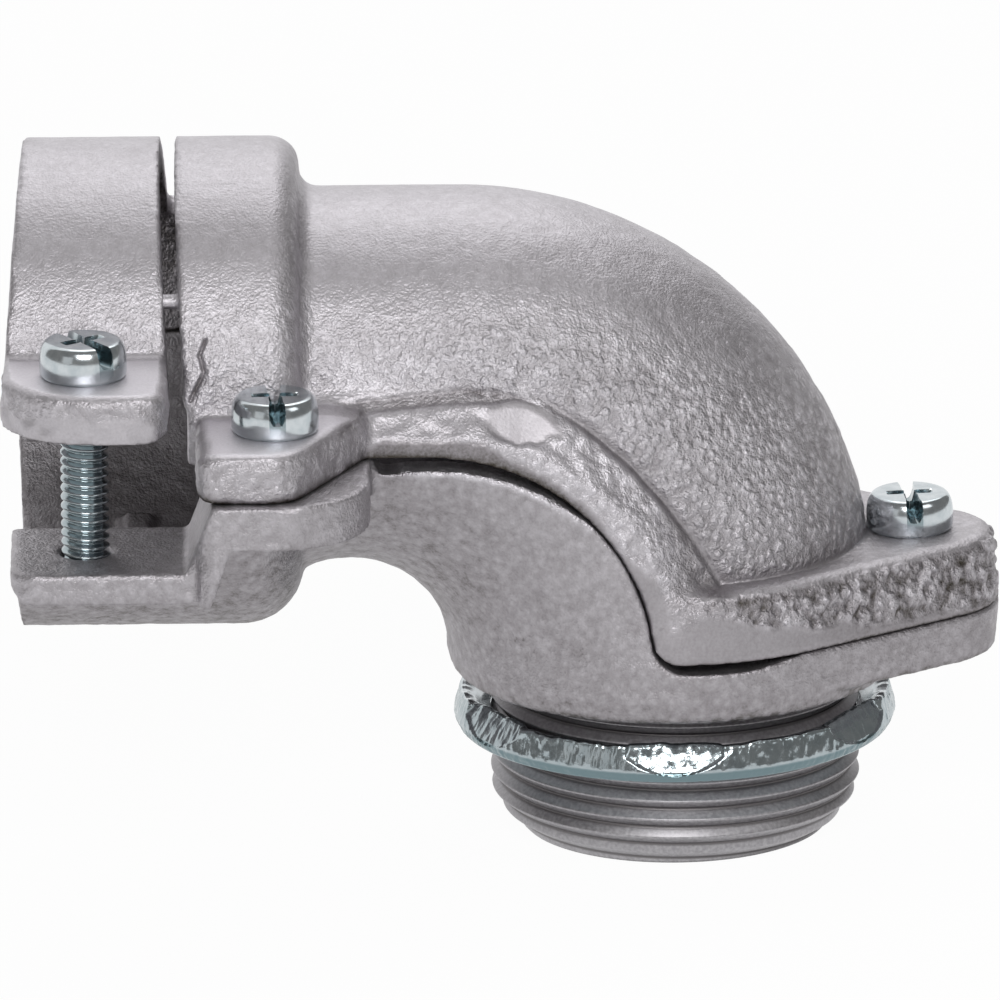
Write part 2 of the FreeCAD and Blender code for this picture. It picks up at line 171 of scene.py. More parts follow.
def cast_finish():
    """Metal whose ramp reads vertex tone + cloud + grit + sand on raw skin - dark specks in some clouds."""
    made, tree, out = new_material("zinc_plated_malleable_iron")
    place = node(tree, "ShaderNodeTexCoord")
    skin = node(tree, "ShaderNodeAttribute", {"attribute_name": "skin"})
    given = node(tree, "ShaderNodeAttribute", {"attribute_name": "tone"})
    grit = node(tree, "ShaderNodeTexNoise", None, Vector=(place, "Object"), Scale=1 / (GRIT_MM * MM),
                Detail=2.0)
    cells = node(tree, "ShaderNodeTexVoronoi", {"feature": "SMOOTH_F1"}, Vector=(place, "Object"),
                 Scale=1 / (SAND_MM * MM), Smoothness=0.7)
    sand = node(tree, "ShaderNodeMapRange", None, Value=(cells, "Distance"), From_Min=0.6, From_Max=0.1)
    cloud = node(tree, "ShaderNodeTexNoise", None, Vector=(place, "Object"), Scale=1 / (CLOUD_MM * MM),
                 Detail=3.0)
    specks = node(tree, "ShaderNodeTexNoise", None, Vector=(place, "Object"), Scale=1 / (SPECK_MM * MM),
                  Detail=2.0)
    spot = node(tree, "ShaderNodeMapRange", None, Value=(specks, 0), From_Min=0.6, From_Max=0.7)
    patch = node(tree, "ShaderNodeMapRange", None, Value=(cloud, 0), From_Min=0.56, From_Max=0.68,
                 To_Max=-0.16)
    grain = node(tree, "ShaderNodeMapRange", None, Value=(sand, 0), To_Min=-0.16, To_Max=0.16)

    tone = node(tree, "ShaderNodeMath", {"operation": "MULTIPLY_ADD"}, _0=(cloud, 0), _1=0.14,
                _2=(given, "Fac"))
    tone = node(tree, "ShaderNodeMath", {"operation": "MULTIPLY_ADD"}, _0=(grit, 0), _1=0.3, _2=(tone, 0))
    tone = node(tree, "ShaderNodeMath", {"operation": "MULTIPLY_ADD"}, _0=(grain, 0), _1=(skin, "Fac"),
                _2=(tone, 0))
    tone = node(tree, "ShaderNodeMath", {"operation": "MULTIPLY_ADD"}, _0=(spot, 0), _1=(patch, 0),
                _2=(tone, 0))
    ramp = node(tree, "ShaderNodeValToRGB", None, Fac=(tone, 0))
    stops = ramp.color_ramp.elements
    stops[0].position, stops[0].color = 0.0, colour("49443d")
    stops[1].position, stops[1].color = 0.95, colour("d7d4d9")
    middle = stops.new(0.25)
    middle.color = colour("979396")

    strength = node(tree, "ShaderNodeMath", {"operation": "MULTIPLY_ADD"}, _0=(skin, "Fac"), _1=0.9, _2=0.08)
    depth = node(tree, "ShaderNodeMath", {"operation": "MULTIPLY"}, _0=(skin, "Fac"), _1=(skin, "Fac"))
    pebbles = node(tree, "ShaderNodeMath", {"operation": "MULTIPLY"}, _0=(sand, 0), _1=(depth, 0))
    relief = node(tree, "ShaderNodeMath", {"operation": "ADD"}, _0=(grit, 0), _1=(pebbles, 0))
    bump = node(tree, "ShaderNodeBump", None, Strength=(strength, 0), Distance=GRAIN_RELIEF_MM * MM,
                Height=(relief, 0))
    shade = node(tree, "ShaderNodeBsdfPrincipled", None, Base_Color=(ramp, "Color"), Metallic=1.0,
                 Roughness=0.5, Normal=(bump, 0))
    tree.links.new(shade.outputs[0], out.inputs["Surface"])
    return made


cast_iron = cast_finish()
print("finish:", cast_iron.name)

# %% [markdown]
# Screws and locknut are steel with bright zinc plate and a clear blue passivation. The plate is thin and
# smooth, so it mirrors the studio; a faint mottling of tone and gloss keeps it from looking like chrome.
# Slots and thread roots are darkened as painted shade: there "recess" blends in a third, darker colour,
# which on the screw shanks also gives the whole thread a bluer grey. "shear" is 1 where the press tore the
# steel and left upright scratches. The thread of the hub has the same nodes with a rougher, greyer
# setting, because it is a cut surface.

# %% bright zinc plate
STREAK_MM, STREAK_STRETCH = 0.5, 0.16
PLATE_RELIEF_MM = 0.09


def bright_finish(name, light, dark, gloss, grain_mm, deep):
    """Smooth metal mottled between two colours, going to a darker third by "recess" as painted shade,
    scratched by "shear".
    """
    made, tree, out = new_material(name)
    place = node(tree, "ShaderNodeTexCoord")
    recess = node(tree, "ShaderNodeAttribute", {"attribute_name": "recess"})
    shear = node(tree, "ShaderNodeAttribute", {"attribute_name": "shear"})
    mottle = node(tree, "ShaderNodeTexNoise", None, Vector=(place, "Object"), Scale=1 / (grain_mm * MM),
                  Detail=4.0)
    ramp = node(tree, "ShaderNodeValToRGB", None, Fac=(mottle, 0))
    stops = ramp.color_ramp.elements
    stops[0].position, stops[0].color = 0.35, colour(dark)
    stops[1].position, stops[1].color = 0.65, colour(light)
    tint = node(tree, "ShaderNodeMix", {"data_type": "RGBA"}, _0=(recess, "Fac"), _6=(ramp, "Color"),
                _7=colour(deep))
    upright = node(tree, "ShaderNodeMapping", None, Vector=(place, "Object"),
                   Scale=(1.0, 1.0, STREAK_STRETCH))
    streak = node(tree, "ShaderNodeTexNoise", None, Vector=(upright, 0), Scale=1 / (STREAK_MM * MM),
                  Detail=3.0)
    rough = node(tree, "ShaderNodeMapRange", None, Value=(mottle, 0), To_Min=gloss * 0.8, To_Max=gloss * 1.3)
    strength = node(tree, "ShaderNodeMath", {"operation": "MULTIPLY_ADD"}, _0=(shear, "Fac"), _1=0.55, _2=0.1)
    relief = node(tree, "ShaderNodeMath", {"operation": "MULTIPLY_ADD"}, _0=(streak, 0), _1=(shear, "Fac"),
                  _2=(mottle, 0))
    bump = node(tree, "ShaderNodeBump", None, Strength=(strength, 0), Distance=PLATE_RELIEF_MM * MM,
                Height=(relief, 0))
    shade = node(tree, "ShaderNodeBsdfPrincipled", None, Base_Color=(tint, 2), Metallic=1.0,
                 Roughness=(rough, 0), Normal=(bump, 0))
    tree.links.new(shade.outputs[0], out.inputs["Surface"])
    return made


zinc_plate = bright_finish("bright_zinc_plated_steel", "ccd2d5", "bac2c6", 0.17, 1.4, "72858a")
cut_thread = bright_finish("zinc_plated_cut_thread", "b0aeb1", "979598", 0.45, 0.4, "6f6c6d")
print("finishes:", zinc_plate.name, cut_thread.name)

# %% [markdown]
# Sand grain could be a bump alone, but then the outline stays smooth. Here every vertex of a casting is
# moved along its normal by a noise field. Blender has noise nodes, but numpy needs a field of its own:
# random values on a lattice, blended smoothly. The lattice is seeded, so each run gives the same grain,
# and it is turned, so that its planes do not show as stripes on faces that lie along an axis.

# %% noise field
CELLS = 48
LATTICE = np.random.default_rng(11).random((CELLS, CELLS, CELLS))
SKEW = np.array([(2, 1, 2), (-2, 2, 1), (1, 2, -2)]) / 3


def field(points, size):
    """Value noise from 0 to 1: lattice values a distance size apart, blended by 6t^5 - 15t^4 + 10t^3."""
    q = points @ SKEW / size
    base = np.floor(q).astype(int)
    t = q - base
    t = t * t * t * (t * (t * 6 - 15) + 10)
    total = 0.0
    for corner in np.ndindex(2, 2, 2):
        weight = np.prod(np.where(corner, t, 1 - t), axis=1)
        i, j, k = ((base + corner) % CELLS).T
        total = total + weight * LATTICE[i, j, k]
    return total


def step(edge0, edge1, x):
    """Smooth step: 0 at edge0, 1 at edge1, 3t^2 - 2t^3 between."""
    t = np.clip((x - edge0) / (edge1 - edge0), 0, 1)
    return t * t * (3 - 2 * t)


print("noise lattice:", LATTICE.shape, "mean", round(LATTICE.mean(), 3))

# %% [markdown]
# A CAD mesh is loose triangles, long and thin on flat faces, and noise needs small even ones. So each
# casting is copied, merged and rebuilt on a fine voxel grid. These helpers read and change such a mesh as
# arrays.

# %% tools for a casting's mesh
ELBOW = np.array([-25.3, 0.0, 8.5])  # centre of the bend
BEND_R = 25.3
MERGE_MM = 0.002


def solid_copy(name, cut_z):
    """Merged copy of a CAD node, cut off flat and closed below cut_z where that is given."""
    bm = bmesh.new()
    bm.from_mesh(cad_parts[name].data)
    bmesh.ops.remove_doubles(bm, verts=bm.verts, dist=MERGE_MM * MM)
    if cut_z is not None:
        parts = bm.verts[:] + bm.edges[:] + bm.faces[:]
        cut = bmesh.ops.bisect_plane(bm, geom=parts, plane_co=(0, 0, cut_z * MM), plane_no=(0, 0, -1),
                                     clear_outer=True)["geom_cut"]
        rim = [e for e in cut if isinstance(e, bmesh.types.BMEdge)]
        bmesh.ops.triangle_fill(bm, edges=rim, use_beauty=True)
    mesh = bpy.data.meshes.new(name + "_copy")
    bm.to_mesh(mesh)
    bm.free()
    return mesh


def from_path(p):
    """Vector to each point from the middle line of the passage: inlet axis, bend, hub axis."""
    out = p - ELBOW
    in_bend = (out[:, 0] > 0) & (out[:, 2] > 0)
    reach = np.hypot(out[:, 0], out[:, 2])
    on_bend = ELBOW + np.stack([out[:, 0], 0 * reach, out[:, 2]], -1) * (BEND_R / reach)[:, None]
    on_inlet = np.stack([p[:, 0], 0 * reach, np.full(len(p), ELBOW[2] + BEND_R)], -1)
    on_hub = np.stack([0 * reach, 0 * reach, p[:, 2]], -1)
    near = np.where((out[:, 0] <= 0)[:, None], on_inlet, on_hub)
    return p - np.where(in_bend[:, None], on_bend, near)


def read(label, items, width, kind=float):
    """Array of one property of a mesh's vertices, edges or normals."""
    values = np.empty(len(items) * width, kind)
    items.foreach_get(label, values)
    return values.reshape(-1, width)


def rebuilt(piece):
    """Mesh of an object with its modifiers applied; the object is removed."""
    made = bpy.data.meshes.new_from_object(piece.evaluated_get(bpy.context.evaluated_depsgraph_get()))
    bpy.data.objects.remove(piece)
    return made


def refine(made, zone):
    """Splits each edge whose two ends lie in the zone, so that narrow creases get a mesh twice as fine."""
    near = zone(read("co", made.vertices, 3) / MM)
    chosen = np.flatnonzero(near[read("vertices", made.edges, 2, int)].all(1))
    bm = bmesh.new()
    bm.from_mesh(made)
    bm.edges.ensure_lookup_table()
    bmesh.ops.subdivide_edges(bm, edges=[bm.edges[i] for i in chosen], cuts=1, use_grid_fill=True)
    bm.to_mesh(made)
    bm.free()
    made.update()


def eased(points, a, b, pulls, share=1.0):
    """Moves each point towards the mean of its neighbours by each pull in turn, times its own share."""
    count = len(points)
    links = (np.bincount(a, minlength=count) + np.bincount(b, minlength=count))[:, None]
    for pull in pulls:
        mean = np.stack([np.bincount(a, points[b, k], count) + np.bincount(b, points[a, k], count)
                         for k in range(3)], -1) / links
        points = points + pull * np.reshape(share, (-1, 1)) * (mean - points)
    return points


print("bend centre", ELBOW.tolist(), "and radius", BEND_R, "mm")

# %% [markdown]
# The voxel grid leaves small stairs. Pulling each point to its neighbours and then pushing it back a
# little more takes the stairs away and keeps the size, and it rounds every corner as a sand mould does.
# The inside of the elbow is hardly seen, so it keeps only a tenth of its faces. A Bevel modifier was the
# other choice for the corners, but it often fails where many small CAD faces meet.

# %% casting skin
EASE = [0.5, -0.52] * 3
SOFTEN = [0.5] * 30
HIDDEN_THINNED = 0.9
INSIDE_X, INSIDE_Z = -46.0, 34.0  # past the conduit stop, or above the middle of the clamp


def voxel_skin(name, voxel, cut_z=None, soft=None, zones=()):
    """Casting rebuilt on a voxel grid, corners eased, hidden inside thinned, zones made finer in turn."""
    rough = bpy.data.objects.new(name + "_rough", solid_copy(name, cut_z))
    bpy.context.scene.collection.objects.link(rough)
    remesh = rough.modifiers.new("voxels", "REMESH")
    remesh.mode = "VOXEL"
    remesh.voxel_size = voxel * MM
    made = rebuilt(rough)
    points = read("co", made.vertices, 3) / MM
    a, b = read("vertices", made.edges, 2, int).T
    points = eased(points, a, b, EASE)
    if soft:
        points = eased(points, a, b, SOFTEN, soft(points))
    made.vertices.foreach_set("co", (points * MM).ravel())
    made.update()
    way = from_path(points)
    inward = np.sum(way * read("vector", made.vertex_normals, 3), 1) < -0.3 * np.linalg.norm(way, axis=1)
    hidden = inward & ((points[:, 0] > INSIDE_X) | (points[:, 2] > INSIDE_Z))
    smooth = bpy.data.objects.new(name + "_smooth", made)
    bpy.context.scene.collection.objects.link(smooth)
    group = smooth.vertex_groups.new(name="hidden")
    group.add(np.flatnonzero(hidden).tolist(), 1.0, "REPLACE")
    thin = smooth.modifiers.new("thin", "DECIMATE")
    thin.ratio = 1 - HIDDEN_THINNED * hidden.mean()
    thin.vertex_group = "hidden"
    made = rebuilt(smooth)
    print(name, "vertices before and after thinning:", len(points), len(made.vertices))
    for zone in zones:
        refine(made, zone)
    return made, read("co", made.vertices, 3) / MM, read("vector", made.vertex_normals, 3)


def finish_casting(made, name, points, skin, tone):
    """Puts moved points and the two vertex numbers into the mesh and sets it in place of its node."""
    low, high = np.array(cad_box) / MM
    made.vertices.foreach_set("co", (np.clip(points, low, high) * MM).ravel())
    mark(made, "skin", skin)
    mark(made, "tone", tone)
    made.polygons.foreach_set("use_smooth", np.ones(len(made.polygons), bool))
    made.materials.clear()
    made.materials.append(cast_iron)
    made.update()
    made.calc_loop_triangles()
    piece = bpy.data.objects.new(name + "_skin", made)
    bpy.context.scene.collection.objects.link(piece)
    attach(piece, "castings")
    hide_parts(name)
    print(piece.name, "triangles:", len(made.loop_triangles))


print("passes of easing and of softening:", len(EASE), len(SOFTEN))

# %% [markdown]
# The cover is the casting that the eye rests on, so it gets the most marks. Each mark is a small function
# that says where it lies, as a number from 0 to 1 at every vertex, so that it can shape the surface,
# smooth the grain and change the tone at the same place. Sculpting by hand would be quicker, but then no
# size could be changed afterwards. First come the two lines that the marks follow: the parting line
# between the castings, and the upper edge of the lip along it.

# %% parting line and lip edge
PART_CENTRE = np.array([-27.6, 0.0, 6.7])
PART_R, PART_Z, HEEL_Z = 25.4, 32.1, 7.2
LIP_SWEEP = [-22, -6, 10, 17, 25, 38, 50, 61, 72, 80, 90]
LIP_EDGE_R = [29.9, 30.7, 31.2, 31.0, 30.2, 29.5, 29.3, 29.6, 30.6, 31.6, 31.6]
STRAIGHT_R = 30.0  # turns a length on the straight part of the lip into a sweep


def above_parting(p):
    """Height over the parting line: level at the inlet, round the bend, level at the heel."""
    across = np.hypot(p[:, 0] - PART_CENTRE[0], p[:, 2] - PART_CENTRE[2]) - PART_R
    return np.where(p[:, 0] < PART_CENTRE[0], p[:, 2] - PART_Z, np.minimum(across, p[:, 2] - HEEL_Z))


def lip_edge(p):
    """Height of each point over the upper edge of the lip, from the bend centre, and its sweep in degrees."""
    x, z = p[:, 0] - ELBOW[0], p[:, 2] - ELBOW[2]
    reach = np.where(x > 0, np.hypot(x, z), z)
    sweep = np.degrees(np.where(x > 0, np.arctan2(x, z), x / STRAIGHT_R))
    return reach - np.interp(sweep, LIP_SWEEP, LIP_EDGE_R), sweep


print("lip edge lies", min(LIP_EDGE_R), "to", max(LIP_EDGE_R), "mm from the bend centre")

# %% [markdown]
# Where the dome rises out of the lip there is a narrow valley round the bend. Between the lug and the
# gate it widens to a cove. Booleans could cut both, but a function that falls off with distance also tells
# the finish where to paint the shade that falls in them. The foot of the dome above the cove is lighter in
# the photograph than these lamps make it, so it is marked for a lighter tone, a painted highlight.

# %% creases along the lip
DOME_X, DOME_R = -24.6, 22.0
HEEL_TOP = 15.6  # the dome rises out of the heel flange here
SIDE_Y = 18.0  # the outer sides of the castings lie farther out than this


def carve_lip(p):
    """Takes the bevel above the lip's edge back onto the dome, a tube of radius DOME_R round the bend."""
    above, sweep = lip_edge(p)
    x, z = p[:, 0] - DOME_X, p[:, 2] - ELBOW[2]
    reach = np.where(x > 0, np.hypot(x, z), z)
    tube = np.hypot(reach - BEND_R, p[:, 1])
    middle = np.stack([DOME_X + np.where(x > 0, x * BEND_R / reach, x), 0 * reach,
                       ELBOW[2] + np.where(x > 0, z * BEND_R / reach, BEND_R)], -1)
    share = step(-0.1, 0.5, above) * step(8, 24, sweep)
    share = share * (tube > DOME_R) * (tube < DOME_R + 3) * (p[:, 2] > HEEL_TOP)
    return p + (middle - p) * (share * (1 - DOME_R / tube))[:, None]


def from_bend(p):
    """Distance of each point from the middle line of the dome."""
    return np.hypot(np.hypot(p[:, 0] - DOME_X, p[:, 2] - ELBOW[2]) - BEND_R, p[:, 1])


def crease(p, width):
    """1 in the valley of the dome on the lip and on the heel flange, falling off as exp(-(d/width)^2)."""
    x, y, z = p.T
    above, sweep = lip_edge(p)
    at_heel = np.hypot(z - HEEL_TOP, from_bend(p) - DOME_R)
    lip = np.exp(-((above - 0.35) / width) ** 2) * (np.abs(y) > SIDE_Y) * (z > 15.0) * step(12, 32, sweep)
    heel = 0.8 * np.exp(-(at_heel / width) ** 2) * step(2, 6, x) * step(24, 17, x)
    return np.maximum(lip, heel)


def cove(p):
    """1 in the wide hollow along the top of the lip, from the lug to the gate."""
    above, sweep = lip_edge(p)
    along = step(-26, -20, sweep) * step(26, 12, sweep) * (np.abs(p[:, 1]) > SIDE_Y)
    return step(-2.1, -1.4, above) * step(-0.2, -0.5, above) * along


def sill(p):
    """1 on the foot of the dome just above the cove, which gets a lighter tone."""
    above, sweep = lip_edge(p)
    along = step(-28, -20, sweep) * step(30, 14, sweep) * (np.abs(p[:, 1]) > 12)
    return step(0.0, 0.4, above) * step(6, 2, above) * along


def lip_bevel(p):
    """1 on the slanting face of the lip, below its upper edge, from the lug to the heel."""
    x, y = p[:, 0], np.abs(p[:, 1])
    return step(20.6, 21.4, y) * step(0.2, -0.4, lip_edge(p)[0]) * step(-38, -34, x) * step(10, 4, x)


print("dome radius", DOME_R, "mm, carved back to it above the lip")

# %% [markdown]
# Two marks look as if they came from pouring. An oval flat on the lip seems to be where the gate, through
# which the iron ran in, was ground off. Beside the near lug there is a crooked seam with a fold next to it,
# as two streams leave that meet too cold to join. Both are laid out on a plane that leans back 17 degrees,
# the tilt at which the part is photographed, so that they can be measured in the picture.

# %% gate spot and cold shut
LEAN = math.radians(17.4)
GATE_SWEEP, GATE_R = math.radians(17.7), 28.3
GATE_LONG, GATE_HIGH, GATE_FOOT = 4.7, 2.2, 24.6
GATE_DEEP, GATE_BOW, GATE_LEAN = 0.36, 58.0, 0.26
COLD_SHUT = np.array([(-52.7, 36.6), (-53.3, 34.9), (-52.8, 33.0), (-54.4, 29.8)])
FOLD = np.array([(-51.5, 34.2), (-52.4, 31.4), (-53.7, 28.6)])
FAR_OFF = 999.0


def facing(p):
    """Height of each point in the leaning plane, y sin t + z cos t."""
    return p[:, 1] * math.sin(LEAN) + p[:, 2] * math.cos(LEAN)


def gate(p):
    """Where the gate was ground off, an oval with a ragged lower edge, and how deep the flat lies there.

    The depth is that of a chord, deep - s^2/bow at a length s along the bend, and it leans to the front.
    """
    reach = np.hypot(p[:, 0] - ELBOW[0], p[:, 2] - ELBOW[2])
    along = reach * (np.arctan2(p[:, 0] - ELBOW[0], p[:, 2] - ELBOW[2]) - GATE_SWEEP)
    oval = 1 - step(0.85, 1.08, np.hypot(along / GATE_LONG, (reach - GATE_R) / GATE_HIGH))
    foot = step(0, 0.4, facing(p) - GATE_FOOT + 1.2 * (field(p, 1.1) - 0.5))
    depth = np.maximum(GATE_DEEP - along ** 2 / GATE_BOW - GATE_LEAN * (reach - GATE_R), 0)
    return oval * foot * (p[:, 1] < -SIDE_Y), depth


def off_line(p, line):
    """Distance of each point on the near side from a broken line in the leaning plane."""
    flat = np.stack([p[:, 0], facing(p)], -1)
    nearest = np.full(len(p), FAR_OFF)
    for start, end in zip(line[:-1], line[1:]):
        t = np.clip((flat - start) @ (end - start) / np.sum((end - start) ** 2), 0, 1)
        nearest = np.minimum(nearest, np.linalg.norm(flat - start - t[:, None] * (end - start), axis=1))
    return np.where(p[:, 1] < -SIDE_Y, nearest, FAR_OFF)


print("cold shut length:", np.linalg.norm(np.diff(COLD_SHUT, axis=0), axis=1).sum().round(1), "mm")

# %% [markdown]
# The rest is wear, grinding and painted shade. Flash along the parting line was ground to a smooth band of
# changing width. The sides of the heel flange are knobbly, the walls inside the clamp are darkened as
# painted shade, and some corners are rounder than on the solids. Each place is a step or a bell over a
# distance. Vertex paint was the other choice, but the voxel grid makes new vertices whenever a size
# changes, and the paint would be lost.

# %% ground and worn places
BAND_X = [-50, -36, -33, -24, -15, -10, -7, -4.5, -2, -0.4, 1.5, 4, 7.4, 12, 18, 25, 37]
BAND_W = [0.6, 0.6, 2.2, 2.1, 1.4, 0.6, 0.2, 0.5, 1.8, 2.7, 4.2, 5.3, 4.6, 3.5, 2.2, 1.8, 0.5]


def ragged(p):
    """Unevenness of a ground edge: noises 4 and 1.2 mm wide."""
    return 1.6 * (field(p, 4.0) - 0.5) + 0.7 * (field(p, 1.2) - 0.5)


def ground_band(p):
    """1 where the height over the parting line is less than a band width that follows x."""
    return 1 - step(-0.3, 0.5, above_parting(p) - np.interp(p[:, 0], BAND_X, BAND_W) + ragged(p))


def strap_edge(p):
    """1 on the ground lower part of the strap lug."""
    return step(41.6, 41.0, p[:, 2] + ragged(p)) * (p[:, 1] < -28) * (p[:, 0] < -58)


def inside_clamp(p):
    """1 on the walls that close on the conduit: nearer than 25.8 mm to its axis, left of the stop."""
    return step(26.1, 25.5, np.linalg.norm(from_path(p), axis=1)) * step(-44, -46, p[:, 0])


def on_flank(p):
    """True on the upright sides of the heel flange, outside the dome."""
    return (p[:, 0] > 4) & (p[:, 2] > 8.5) & (p[:, 2] < 15.4) & (from_bend(p) > 23.5)


def round_corners(p):
    """1 at corners that are worn round: both ends of the lip on the heel, and the front corner of the lug."""
    heel = np.exp(-np.sum((np.abs(p - [1.0, 0, 0]) - [0, 25, 15.5]) ** 2 * [1, 0.6, 1], 1) / 10)
    lug = np.exp(-((p[:, 0] + 54) ** 2 + (p[:, 1] + 38) ** 2) / 8)
    return np.maximum(heel, lug)


def narrow_marks(p):
    """True round the crease, the cove, the heel flank and the cold shut, which need a finer mesh."""
    return (crease(p, 1.4) > 0.1) | (cove(p) > 0.02) | on_flank(p) | (off_line(p, COLD_SHUT) < 1.0)


def seam_mark(p):
    """True close to the cold shut, the narrowest mark."""
    return off_line(p, COLD_SHUT) < 0.6


print("ground band is", min(BAND_W), "to", max(BAND_W), "mm wide")

# %% [markdown]
# Now the marks come together. The height of a vertex is the sand grain plus what each mark adds or takes
# away, in mm. The tone goes the same way. A part of it stands in for light: undersides and the dome at the
# heel are made darker and the bevel lighter, because the studio below lights them otherwise than the one
# in the photograph.

# %% cover casting
COVER_VOXEL = 0.5
# Painted shade on faces that look down, on both castings.
UNDERSIDE_SHADE = 0.2  # loss of tone on faces that look down


def cover_skin():
    """Moves each vertex along its normal by grain and marks; skin and tone follow the same marks."""
    made, p, n = voxel_skin("cover_casting", COVER_VOXEL, soft=round_corners, zones=(narrow_marks, seam_mark))
    p = carve_lip(p)
    x, y, z = p.T
    up = n[:, 2]

    ground = ground_band(p)
    spot, cut = gate(p)
    flat_top = step(0.97, 0.995, up) * (y < -27)
    plain = np.clip(np.maximum(ground, strap_edge(p)) + 0.75 * flat_top + spot, 0, 1)
    hollow = cove(p) * (1 - spot)
    valley = crease(p, 0.55) * (1 - hollow) * step(-24, -15, x)
    # A wide band round the heel crease, outside the valley, that gets painted shade.
    crease_shade = np.maximum(crease(p, 2.4) * step(0, 6, x) - valley, 0)
    seam = np.exp(-(off_line(p, COLD_SHUT) / 0.2) ** 2)
    fold = np.exp(-(off_line(p, FOLD) / 0.4) ** 2)
    bevel = lip_bevel(p) * (1 - plain) * (1 - hollow)
    flank = step(3, 9, x) * step(0.75, 0.55, np.abs(up)) * step(15.9, 15.2, z) * (1 - ground)
    lug_face = step(-27, -29, y) * step(0.6, 0.3, np.abs(up))

    coarse = 0.45 + 0.55 * step(-40, -18, x) * step(60, 48, z)
    skin = np.clip(1 - plain, 0.06, 1) * (0.4 + 0.6 * coarse) * (1 - 0.6 * step(0.35, 0.8, up))
    skin = skin * (1 - 0.2 * bevel) * (1 - 0.7 * valley)
    grain = (field(p, 1.05) + 0.5 * field(p + 40, 2.1) - 0.75) / 0.75
    lumps = field(p, 3.4) - 0.5
    nubs = step(0.42, 0.78, field(p * np.array([1, 1, 0.8]), 0.95))
    waves = 2 * field(p + 20, 1.5) - 1
    crumbs = 2 * field(p + 60, 1.15) - 1

    height = (0.14 * grain * skin + 0.14 * lumps) * coarse * (1 - flank) * (1 - ground)
    height += (0.4 * nubs - 0.15) * flank + 0.14 * waves * bevel
    height += 0.24 * crumbs * np.maximum(lug_face, 0.8 * bevel)
    height += 0.3 * fold - 0.3 * valley - 0.42 * hollow - 0.4 * seam - spot * cut

    # Painted light in the tone: flat tops that face up, the knob tops on the flank, the sill and most of the
    # lip bevel are lighter as painted highlights; the bevel near the heel is darker as painted shade, and the
    # flank between the knobs is darker.
    tone = 0.44 + grain * skin * 0.2 + (0.32 * nubs - 0.35) * flank + 0.25 * flat_top + 0.2 * sill(p)
    tone += 0.16 * bevel * (1 - 0.8 * step(-18, -22, x) - 2 * step(-2, 2, x)) + 0.15 * fold
    # Painted shade: the ground band is darker because it faces down, more so at the left, and the valley and
    # the cove are darker where shade falls in them.
    tone -= ground * (0.24 + 0.2 * step(-6, -12, x)) + 0.34 * valley + 0.3 * hollow + 0.45 * seam
    # Painted shade: the wide band round the heel crease, the walls inside the clamp and the dome at the heel
    # are darker; the gate flat is a little darker too.
    tone -= 0.2 * crease_shade + 0.14 * spot + 0.26 * inside_clamp(p) + 0.12 * step(13, 22, x) * (1 - flank)
    tone -= UNDERSIDE_SHADE * step(0.05, -0.6, up)
    finish_casting(made, "cover_casting", p + n * height[:, None], skin, tone)


cover_skin()

# %% [markdown]
# The body is the same iron from a finer mould face, so its grain is smaller and weaker. Its hub is cut
# away here, because the thread is made as a surface of its own below. The rim under the lip of the cover
# is rough, and a painted highlight makes it bright in a strip that follows the parting line. The lower
# body gets a darker tone, because the white floor lights it more than in the photograph.

# %% body casting
BODY_VOXEL, HUB_CUT_Z = 0.43, -0.4
RIM_X = [-34, -32, -29, -26, -20.5, -17, -12.6, -9]
RIM_TOP = [0, -1.25, -1.84, -1.7, -1.38, -1.09, -0.63, -0.12]


def body_rim(p):
    """1 on the top millimetre of the rim, whose height against the parting line follows x."""
    x = p[:, 0]
    along = (np.abs(p[:, 1]) > 19) * step(-36, -33, x) * step(-7, -14, x)
    return step(-1.0, -0.4, above_parting(p) - np.interp(x, RIM_X, RIM_TOP)) * along


def body_skin():
    """Grain about 0.9 mm wide over the whole body, weaker than on the cover; painted shade inside the clamp.
    """
    made, p, n = voxel_skin("body_casting", BODY_VOXEL, cut_z=HUB_CUT_Z)
    clamp, rim = inside_clamp(p), body_rim(p)
    grain = (field(p, 0.9) + 0.5 * field(p + 40, 1.6) - 0.75) / 0.75
    skin = 0.5 - 0.15 * clamp + 0.3 * rim
    height = 0.08 * grain * (1 + rim)
    # Painted light in the tone: darker low down and inside the clamp as painted shade, lighter on the rim as
    # a painted highlight.
    tone = 0.22 + 0.1 * step(4, 22, p[:, 2]) + grain * 0.11 - 0.1 * clamp + 0.44 * rim
    tone -= UNDERSIDE_SHADE * step(0.05, -0.6, n[:, 2])
    finish_casting(made, "body_casting", p + n * height[:, None], skin, tone)


body_skin()

# %% [markdown]
# A small web of iron still bridges the slot between strap and ring on the screw side. It is a bar with an
# oval section that swells at both ends, because a plain cylinder would meet the castings at hard corners.

# %% web in the slot
CLAMP_AXIS_Z = 33.8
WEB_X, WEB_HALF = -56.95, 1.45
WEB_R, WEB_THICK, WEB_WIDE = 26.2, 0.75, 0.85
WEB_TILT = math.radians(37)


